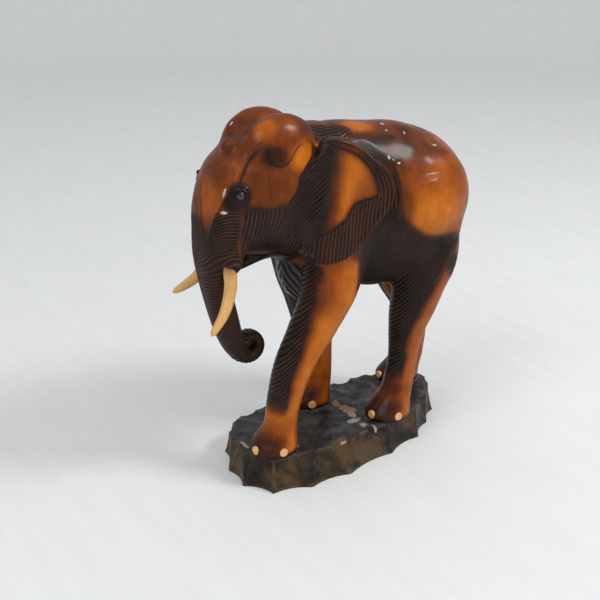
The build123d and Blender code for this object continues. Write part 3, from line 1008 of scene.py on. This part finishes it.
def lacquered_wood():
    n = Nodes("lacquered_wood")
    grain = n.noise(60, 4, 0.6, n.stretch((3.2, 3.2, 0.35)), 0.6)
    pores = n.noise(900, 2, 0.6, n.stretch((1, 1, 0.12)))
    mottle = n.noise(95, 3)
    tone = n.attribute("tone")
    for texture, amount in ((grain, 0.20), (mottle, 0.16), (pores, 0.06)):
        tone = n.sway(tone, texture, amount)
    colour = n.ramp(tone, LACQUER)
    wave = n.math("COSINE", n.math("MULTIPLY", n.attribute("phase"), 2 * math.pi))
    ridge = n.math("MULTIPLY_ADD", wave, -0.5, 0.5)
    lines = n.attribute("lines")
    cut = n.math("MULTIPLY", n.math("POWER", n.math("MULTIPLY_ADD", wave, 0.5, 0.5), VALLEY_POWER), lines)
    # painted highlight: the crests between the cut lines are lightened, in patches set by a noise
    crest = n.math("MULTIPLY", n.math("POWER", ridge, 4.0), lines)
    crest_highlight_share = n.range(n.noise(45, 3), 0.35, 0.65, 0.12, 0.50)
    colour = n.mix(n.math("MULTIPLY", crest, crest_highlight_share), colour, (0.125, 0.066, 0.034))
    gloss = n.attribute("gloss")
    # painted reflection: a pale grey laid over the colour on the ridges of the glossy chest scales
    painted_sheen = n.math("MULTIPLY", gloss, ridge)
    colour = n.mix(n.math("MULTIPLY", painted_sheen, 0.8), colour, (0.085, 0.080, 0.082))
    # painted shade: the bottoms of the cut lines are darkened almost to black
    colour = n.mix(n.math("MULTIPLY", cut, 0.85), colour, (0.006, 0.004, 0.003))
    specks = n.range(n.noise(420, 2, 0.5), 0.70, 0.74)
    colour = n.mix(n.math("MULTIPLY", specks, 0.5), colour, (0.02, 0.01, 0.006))
    chips = n.attribute("chips")
    colour = n.mix(chips, colour, n.mix(n.noise(500), (0.50, 0.38, 0.24), (0.80, 0.70, 0.56)))
    roughness = n.math("MULTIPLY_ADD", n.noise(140, 4), 0.26, 0.26)
    roughness = n.math("ADD", roughness, n.math("MULTIPLY", cut, 0.25))
    roughness = n.math("ADD", roughness, n.math("MULTIPLY", chips, 0.4))
    roughness = n.math("SUBTRACT", roughness, n.math("MULTIPLY", gloss, 0.22))
    normal = n.bump(n.math("MULTIPLY", cut, -1.0), 0.0007, 0.9)
    normal = n.bump(n.math("ADD", pores, grain), 0.00012, 0.5, normal)
    return n.finish(
        colour, roughness, normal, Coat_Weight=0.2, Coat_Roughness=0.19, IOR=1.48, Specular_IOR_Level=0.08
    )


def painted_base():
    n = Nodes("painted_base")
    broad = n.noise(28, 5, 0.6)
    medium = n.noise(120, 5, 0.65)
    fine = n.noise(700, 3, 0.6)
    black = n.mix(n.range(medium, 0.35, 0.7), (0.009, 0.008, 0.008), (0.032, 0.030, 0.029))
    brown = n.mix(n.range(broad, 0.43, 0.57), (0.008, 0.006, 0.005), (0.078, 0.043, 0.014))
    brown = n.mix(n.range(medium, 0.5, 0.75), brown, (0.020, 0.016, 0.012))
    # painted shade: each gouge facet darkened by its own amount, as if lit differently
    shade = n.range(n.math("ADD", n.attribute("facets"), medium), 0.75, 1.35, 0.0, 0.8)
    brown = n.mix(shade, brown, (0.009, 0.007, 0.006))
    colour = n.mix(n.attribute("sides"), black, brown)
    grey = n.math("MULTIPLY", n.range(n.noise(55, 6, 0.7), 0.44, 0.62), n.attribute("dusty"))
    grey = n.math("MULTIPLY", grey, n.range(n.attribute("sides"), 0.0, 1.0, 1.0, 0.25))
    colour = n.mix(n.math("MULTIPLY", grey, 0.7), colour, (0.120, 0.113, 0.108))
    edge = n.math("MULTIPLY", n.attribute("edges"), n.range(medium, 0.42, 0.62))
    colour = n.mix(n.math("MULTIPLY", edge, 0.7), colour, (0.120, 0.080, 0.040))
    bare = n.range(n.sway(n.attribute("bare"), medium, 1.5), 0.50, 0.58)
    wood = n.mix(n.noise(240, 4), (0.20, 0.12, 0.065), (0.56, 0.42, 0.28))
    colour = n.mix(bare, colour, wood)
    filler = n.range(n.sway(n.attribute("filler"), fine, 1.1), 0.50, 0.62)
    colour = n.mix(filler, colour, n.mix(fine, (0.14, 0.12, 0.10), (0.50, 0.46, 0.40)))
    specks = n.range(n.noise(600, 2), 0.72, 0.76)
    colour = n.mix(n.math("MULTIPLY", specks, 0.6), colour, (0.24, 0.21, 0.17))
    roughness = n.math("MULTIPLY_ADD", medium, 0.35, 0.30)
    roughness = n.math("ADD", roughness, n.math("MULTIPLY", bare, 0.3))
    height = n.math("ADD", medium, n.math("MULTIPLY", fine, 0.35))
    height = n.math("ADD", height, n.math("MULTIPLY", bare, -0.5))
    normal = n.bump(height, 0.0009, 0.7)
    return n.finish(
        colour, roughness, normal, Coat_Weight=0.15, Coat_Roughness=0.18, IOR=1.48, Specular_IOR_Level=0.15
    )


def tusk_wood():
    n = Nodes("tusk_wood")
    grain = n.noise(190, 4, 0.6, n.stretch((1.8, 1.8, 0.2)), 0.3)
    stain = n.noise(60, 3)
    colour = n.ramp(grain, [(0.2, (0.58, 0.29, 0.075)), (0.5, (0.66, 0.36, 0.105)), (0.8, (0.72, 0.43, 0.15))])
    colour = n.mix(n.range(stain, 0.55, 0.8, 0, 0.35), colour, (0.48, 0.23, 0.06))
    colour = n.mix(n.attribute("root"), colour, (0.22, 0.11, 0.045))
    roughness = n.math("MULTIPLY_ADD", grain, 0.25, 0.28)
    normal = n.bump(grain, 0.00025, 0.5)
    return n.finish(colour, roughness, normal, Coat_Weight=0.25, Coat_Roughness=0.2, IOR=1.48)


def end_grain():
    """The toenails: dowel ends, paler than the elephant, with rings and open pores."""
    n = Nodes("nail_end_grain")
    pores = n.cells(1500)
    rings = n.noise(420, 2, 0.5, None, 1.2)
    blotch = n.noise(170, 4)
    colour = n.ramp(rings, [(0.3, (0.62, 0.29, 0.09)), (0.55, (0.84, 0.47, 0.18)), (0.8, (0.92, 0.60, 0.29))])
    colour = n.mix(n.range(pores, 0.0, 0.28, 0.5, 0.0), colour, (0.25, 0.10, 0.04))
    colour = n.mix(n.range(blotch, 0.55, 0.75, 0, 0.5), colour, (0.28, 0.12, 0.04))
    roughness = n.math("MULTIPLY_ADD", blotch, 0.3, 0.35)
    normal = n.bump(pores, 0.0002, 0.5)
    return n.finish(colour, roughness, normal, Coat_Weight=0.3, Coat_Roughness=0.25, IOR=1.48)


def plain_dowel():
    n = Nodes("dowel_wood")
    grain = n.noise(300, 4, 0.6, n.stretch((1.5, 1.5, 0.2)))
    colour = n.ramp(grain, [(0.3, (0.33, 0.20, 0.10)), (0.7, (0.60, 0.42, 0.24))])
    return n.finish(colour, n.math("MULTIPLY_ADD", grain, 0.2, 0.5), n.bump(grain, 0.0002, 0.5))


def eye_bead():
    n = Nodes("eye_bead")
    cloud = n.noise(500, 3)
    colour = n.ramp(cloud, [(0.3, (0.006, 0.003, 0.006)), (0.75, (0.050, 0.018, 0.038))])
    scratches = n.noise(1600, 2, 0.5, n.stretch((1, 0.2, 1)))
    roughness = n.math("MULTIPLY_ADD", scratches, 0.10, 0.08)
    return n.finish(colour, roughness, n.bump(scratches, 0.00004, 0.4), Coat_Weight=0.8, Coat_Roughness=0.08)


# ================================================================ the carving
LINE_DEPTH = 0.50
SCALE_DEPTH = 2.0  # of the chest's wide scales

wood_points, wood_normals, wood_quads = model_elephant(WOOD_STEP).surface()
work = finish_carving(wood_points, wood_normals)
depth = np.where(work.gloss > 0.5, SCALE_DEPTH, LINE_DEPTH) * work.lines * valley(work.phase)
on_sole = ease(wood_points[:, 2], SOLE + 0.3, SOLE + 2.5)
wood_points = wood_points + wood_normals * ((work.relief - depth) * on_sole)[:, None]
carving = build_mesh(
    "carved_elephant", place_in_frame(wood_points), wood_quads,
    [
        ("phase", work.phase), ("lines", work.lines * (1 - 0.5 * work.gloss)), ("tone", work.tone),
        ("chips", work.chips), ("gloss", work.gloss),
    ],
)
carving.data.materials.append(lacquered_wood())
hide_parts("carving")
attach(carving, "root")

# ================================================================ the base, hacked out with a gouge
BASE_CORNERS = [
    (-2, -128), (30, -130), (58, -112), (69, -74), (70, -29), (61, 29), (50, 72), (31, 99), (12, 123),
    (-18, 137), (-50, 122), (-64, 88), (-68, 46), (-67, 4), (-64, -40), (-58, -78), (-36, -113),
]
BASE_HEIGHT = 30.0
DENTS = 46
SIDE_SLOPE = math.radians(19)
GOUGE_DEPTH = 4.2
PICTURE_RIGHT = (0.5446, 0.8387)  # the base's long axis lies across the picture


def sole_reach(rings, x, y):
    """How far spots are from a foot's middle: 1 at the edge of its sole."""
    centre_x, centre_y, _, wide, long = rings[0]
    return np.hypot((x - centre_x) / wide, (y - centre_y) / long)


def foot_room(rings, spot):
    """How far a spot on the base's top is from a foot's sole."""
    return (sole_reach(rings, *spot) - 1) * min(rings[0][3:])


def side_lean(x, y):
    """How far the base's sides lean in: well along its flanks, hardly at its two ends."""
    along = PICTURE_RIGHT[0] * x + PICTURE_RIGHT[1] * y
    return SIDE_SLOPE * (1 - 0.9 * ease(np.abs(along), 70, 108))


def gouge_cut(axes, foot, outward, lean, radius, bite):
    """The field that a round gouge leaves: it bites in at the base's foot and leans in over it."""
    off = (math.cos(lean) * outward[0], math.cos(lean) * outward[1], math.sin(lean))
    origin = np.array([*foot, 0]) + np.array(off) * (radius - bite)
    px, py, pz = (axis - start for axis, start in zip(axes, origin))
    return radius - np.hypot(px * off[0] + py * off[1] + pz * off[2], py * outward[0] - px * outward[1])


def model_base(step):
    clay = Clay((-78, -140, -4), (78, 146, 38), step)
    x, y, z = clay.axes
    axes = x[:, None, None], y[None, :, None], z[None, None, :]
    flat = outline_distance(BASE_CORNERS, *np.meshgrid(x, y, indexing="ij"))[:, :, None]
    leans = side_lean(*axes[:2])
    field = np.maximum((flat + axes[2] * np.tan(leans)) * np.cos(leans), -axes[2])
    for start, end in zip(BASE_CORNERS, BASE_CORNERS[1:] + BASE_CORNERS[:1]):
        run = np.subtract(end, start)
        chord = np.hypot(*run)
        middle = np.add(start, end) / 2
        radius = (chord**2 / 4 + GOUGE_DEPTH**2) / (2 * GOUGE_DEPTH)
        outward = (run[1] / chord, -run[0] / chord)
        lean = float(side_lean(*middle))
        field = np.maximum(field, gouge_cut(axes, middle, outward, lean, radius, GOUGE_DEPTH))
    # an upper row of steeper gouges over the corners, which meets the lower row in pointed facets
    for number, corner in enumerate(BASE_CORNERS):
        run = np.subtract(BASE_CORNERS[(number + 1) % len(BASE_CORNERS)], BASE_CORNERS[number - 1])
        outward = np.array([run[1], -run[0]]) / np.hypot(*run)
        step_in = BASE_HEIGHT * math.tan(float(side_lean(*corner)))
        rim = np.array(corner) - outward * step_in
        room = min(foot_room(rings, rim) for rings in LEGS.values())
        bite = min(9.0 + 2.0 * math.sin(number * 1.7 + 1), room - 1.0)
        lean = math.atan((step_in + bite) / BASE_HEIGHT)
        radius = 14.0 + 3 * math.sin(number * 2.1)
        field = np.maximum(field, gouge_cut(axes, corner, outward, lean, radius, 0.5))
    # the top, uneven except under the feet
    random = np.random.RandomState(5)
    grid = np.stack(np.meshgrid(x, y, indexing="ij"), axis=-1)
    top = np.full(grid.shape[:2], BASE_HEIGHT)
    for _ in range(DENTS):
        spot = random.uniform((-60, -120), (60, 130))
        size = random.uniform(14, 30)
        drop = random.uniform(0.8, 1.9)
        turn = random.uniform(0, math.pi)
        offset = grid - spot
        one = offset[..., 0] * math.cos(turn) + offset[..., 1] * math.sin(turn)
        other = -offset[..., 0] * math.sin(turn) + offset[..., 1] * math.cos(turn)
        top = np.minimum(top, BASE_HEIGHT - drop * (1 - (one / size) ** 2 - (other / size * 1.8) ** 2))
    for rings in LEGS.values():
        away = sole_reach(rings, grid[..., 0], grid[..., 1])
        top = mix(top, BASE_HEIGHT, fall(away, 1.08, 1.28))
        top += 0.9 * bell(away - 1.05, 0.06)
    clay.field[...] = np.maximum(field, axes[2] - top[:, :, None])
    return clay


BARE_PATCHES = [((2, 14), (13, 7)), ((14, 10), (8, 5)), ((-14, 10), (7, 5)), ((52, -28), (2, 6))]
FILLER_SPOTS = [
    ((59, -93), (4, 6)), ((52, 14), (10, 2)), ((6, -113), (10, 2)), ((26, 4), (4, 9)), ((38, 8), (5, 4)),
]


def painted_facet_shading(points):
    """Painted shade for each gouge cut, a darkness of its own that stands in for how each facet catches the
    light: the lower ones between corners and the upper ones over them.
    """
    corners = np.array(BASE_CORNERS, dtype=float)
    between = (corners + np.roll(corners, -1, axis=0)) / 2
    low_cuts = np.column_stack([between, np.full(len(between), 4.0)])
    high_cuts = np.column_stack([corners * 0.93, np.full(len(corners), 21.0)])
    painted_facet_darkness = np.random.RandomState(12).uniform(0, 1, len(corners) * 2)
    away = np.linalg.norm(points[:, None, :] - np.vstack([low_cuts, high_cuts])[None], axis=2)
    return painted_facet_darkness[away.argmin(axis=1)]


def blots(points, spots, peak, fading):
    """Patches on the base's top, strongest in their middles."""
    x, y, z = points.T
    strength = np.zeros(len(points), dtype=np.float32)
    for centre, radii in spots:
        away = np.hypot((x - centre[0]) / radii[0], (y - centre[1]) / radii[1])
        strength = np.maximum(strength, peak - fading * away)
    return strength * ease(z, 22, 26)


def base_paint(points, normals):
    """Where the base is brown, dusty, bare or smeared with filler."""
    x, y, z = points.T
    rough = Wobble(21)
    filler = blots(points, FILLER_SPOTS, 0.95, 0.5)
    for rings in LEGS.values():
        seam = bell(sole_reach(rings, x, y) - 1.07, 0.05) * ease(z, 27, 28)
        filler = np.maximum(filler, seam * (0.42 + 0.25 * rough.at(points, 14)))
    return [
        ("sides", fall(normals[:, 2], 0.62, 0.86)), ("dusty", 1 - 0.6 * fall(y, -60, 20)),
        ("bare", np.clip(blots(points, BARE_PATCHES, 1.0, 0.55), 0, 1)), ("filler", np.clip(filler, 0, 1)),
    ]


base_clay = model_base(BASE_STEP)
base_points, base_normals, base_quads = base_clay.surface()
wide_normals = base_clay.slope(base_points, 3.0)
edges = ease(1 - np.linalg.norm(wide_normals, axis=1), 0.03, 0.16)
# the facets attribute holds painted shade, one darkness for each gouge facet
base_looks = base_paint(base_points, base_normals) + [("edges", edges), ("facets", painted_facet_shading(base_points))]
bumps = Wobble(3)
ripple = 0.28 * bumps.at(base_points, 9) + 0.16 * bumps.at(base_points, 3.5)
feet_clear = np.ones(len(base_points))
for rings in LEGS.values():
    feet_clear *= ease(sole_reach(rings, base_points[:, 0], base_points[:, 1]), 0.98, 1.1)
keep_flat = ease(base_points[:, 2], 0.4, 3.0) * feet_clear
base_points = base_points + base_normals * (ripple * keep_flat)[:, None]
base = build_mesh("gouged_base", place_in_frame(base_points), base_quads, base_looks)
base.data.materials.append(painted_base())
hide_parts("base")
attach(base, "root")

# ================================================================ tusks
TUSKS = {
    "left": [
        (24, -123, 240, 5), (27, -134, 226, 6), (30, -136, 211, 5.8), (34, -141, 199, 5.3),
        (40, -150, 188, 4.5), (45.5, -162, 178.5, 3.1), (46.5, -164.5, 176.5, 1.6),
    ],
    "right": [
        (-24, -122, 238, 5), (-26, -131, 223, 6), (-30, -132, 209, 5.7), (-35, -138, 198, 5.1),
        (-40, -147, 190.5, 4.3), (-44, -154, 185.5, 3.0), (-45, -156, 184, 1.6),
    ],
}
TUSK_SIDES = 40
TUSK_DOME = [(0.35, 0.93), (0.65, 0.74), (0.85, 0.48), (0.95, 0.2)]  # (how far ahead, how wide)


def tusk_mesh(side, rings):
    """A swept tusk, whittled to a blunt tip."""
    table = spline_rows(rings, 90).astype(float)
    centres, radii = table[:, :3], table[:, 3]
    runs = np.gradient(centres, axis=0)
    runs /= np.linalg.norm(runs, axis=1, keepdims=True)
    across = np.cross(runs, (0, 1, 0))
    across /= np.linalg.norm(across, axis=1, keepdims=True)
    over = np.cross(runs, across)
    turns = np.linspace(0, 2 * math.pi, TUSK_SIDES, endpoint=False)
    facets = 1 + 0.018 * np.cos(5 * turns[None, :] + np.linspace(0, 2.5, len(table))[:, None])
    points = (
        centres[:, None]
        + (radii[:, None] * facets * np.cos(turns))[..., None] * across[:, None]
        + (radii[:, None] * facets * np.sin(turns))[..., None] * over[:, None]
    ).reshape(-1, 3)
    rings = np.arange(len(points)).reshape(-1, TUSK_SIDES)
    faces = [band(first, second) for first, second in zip(rings[:-1], rings[1:])]
    # both ends close as domes of ever smaller rings
    for end, sign in ((0, -1), (len(table) - 1, 1)):
        last = rings[end]
        rim = points[last] - centres[end]
        for ahead, width in TUSK_DOME:
            fresh = len(points) + np.arange(TUSK_SIDES)
            points = np.vstack([points, centres[end] + rim * width + runs[end] * sign * ahead * radii[end]])
            faces.append(band(last, fresh)[:, ::sign])
            last = fresh
        faces.append(lid(last)[:, ::sign])
    low, high = (np.array(corner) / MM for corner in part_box("tusk_" + side))
    drawn_low, drawn_high = points.min(axis=0), points.max(axis=0)
    points = points + ((low + high) - (drawn_low + drawn_high)) / 2
    root = ease(points[:, 2], 216, 230)
    return build_mesh("whittled_tusk_" + side, points * MM, np.vstack(faces), [("root", root)])


tusk_material = tusk_wood()
for side, rings in TUSKS.items():
    tusk = tusk_mesh(side, rings)
    tusk.data.materials.append(tusk_material)
    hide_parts("tusk_" + side)
    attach(tusk, "root")

# ================================================================ CAD pieces that stay: nails, eyes, dowels
kept = {"nail": end_grain(), "eye": eye_bead(), "dowel": plain_dowel()}
for name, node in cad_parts.items():
    kind = name.split("_")[0]
    if kind in kept:
        node.data.materials.clear()
        node.data.materials.append(kept[kind])

# ================================================================ floor, light and camera
low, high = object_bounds()
middle = (low + high) / 2


def studio_floor():
    """A pale round floor that sweeps up into a wall all round, as one sheet."""
    flat, bend, wall, sides = 2.3, 0.9, 3.4, 72
    profile = [(reach, 0.0) for reach in (0.3, 0.8, 1.5, flat)]
    for turn in np.linspace(0, math.pi / 2, 14)[1:]:
        profile.append((flat + bend * math.sin(turn), bend * (1 - math.cos(turn))))
    profile.append((flat + bend, wall))
    turns = np.linspace(0, 2 * math.pi, sides, endpoint=False)
    points = [
        (reach * math.cos(turn), reach * math.sin(turn), low.z + height)
        for reach, height in profile
        for turn in turns
    ]
    rings = np.arange(len(points)).reshape(-1, sides)
    faces = np.vstack([band(outer, inner) for inner, outer in zip(rings[:-1], rings[1:])] + [lid(rings[0])])
    return build_mesh("studio_floor", points, faces)


floor = studio_floor()
n = Nodes("pale_board")
streaks = n.noise(9, 4, 0.5, n.stretch((1, 6, 1)))
floor.data.materials.append(
    n.finish(n.mix(streaks, (0.74, 0.745, 0.74), (0.82, 0.825, 0.82)), 0.7, n.bump(streaks, 0.0005, 0.2))
)

world = bpy.data.worlds.new("soft_room")
bpy.context.scene.world = world
world.use_nodes = True
world.node_tree.nodes["Background"].inputs["Color"].default_value = (0.95, 0.97, 1.0, 1)
world.node_tree.nodes["Background"].inputs["Strength"].default_value = 0.75


def area_light(name, place, size, power):
    """A rectangular lamp that looks at the middle of the object."""
    data = bpy.data.lights.new(name, "AREA")
    data.shape = "RECTANGLE"
    data.size, data.size_y = size
    data.energy = power
    lamp = bpy.data.objects.new(name, data)
    lamp.location = place
    lamp.rotation_euler = (middle - Vector(place)).to_track_quat("-Z", "Y").to_euler()
    bpy.context.scene.collection.objects.link(lamp)


area_light("window_light", (0.95, 1.0, 1.5), (0.5, 0.5), 18)
area_light("front_light", (0.6, -1.6, 2.0), (1.3, 1.1), 16)

camera_data = bpy.data.cameras.new("camera")
camera_data.lens = 60
camera_data.sensor_width = 36
camera = bpy.data.objects.new("camera", camera_data)
camera.location = (0.748, -0.530, 0.538)
turn, dip = math.atan2(PICTURE_RIGHT[0], -PICTURE_RIGHT[1]), math.radians(22.7)
look = Vector((math.cos(turn) * math.cos(dip), math.sin(turn) * math.cos(dip), -math.sin(dip)))
camera.rotation_euler = look.to_track_quat("-Z", "Y").to_euler()
camera_data.clip_start = 0.01
bpy.context.scene.collection.objects.link(camera)
bpy.context.scene.camera = camera
bpy.context.scene.view_settings.view_transform = "Standard"
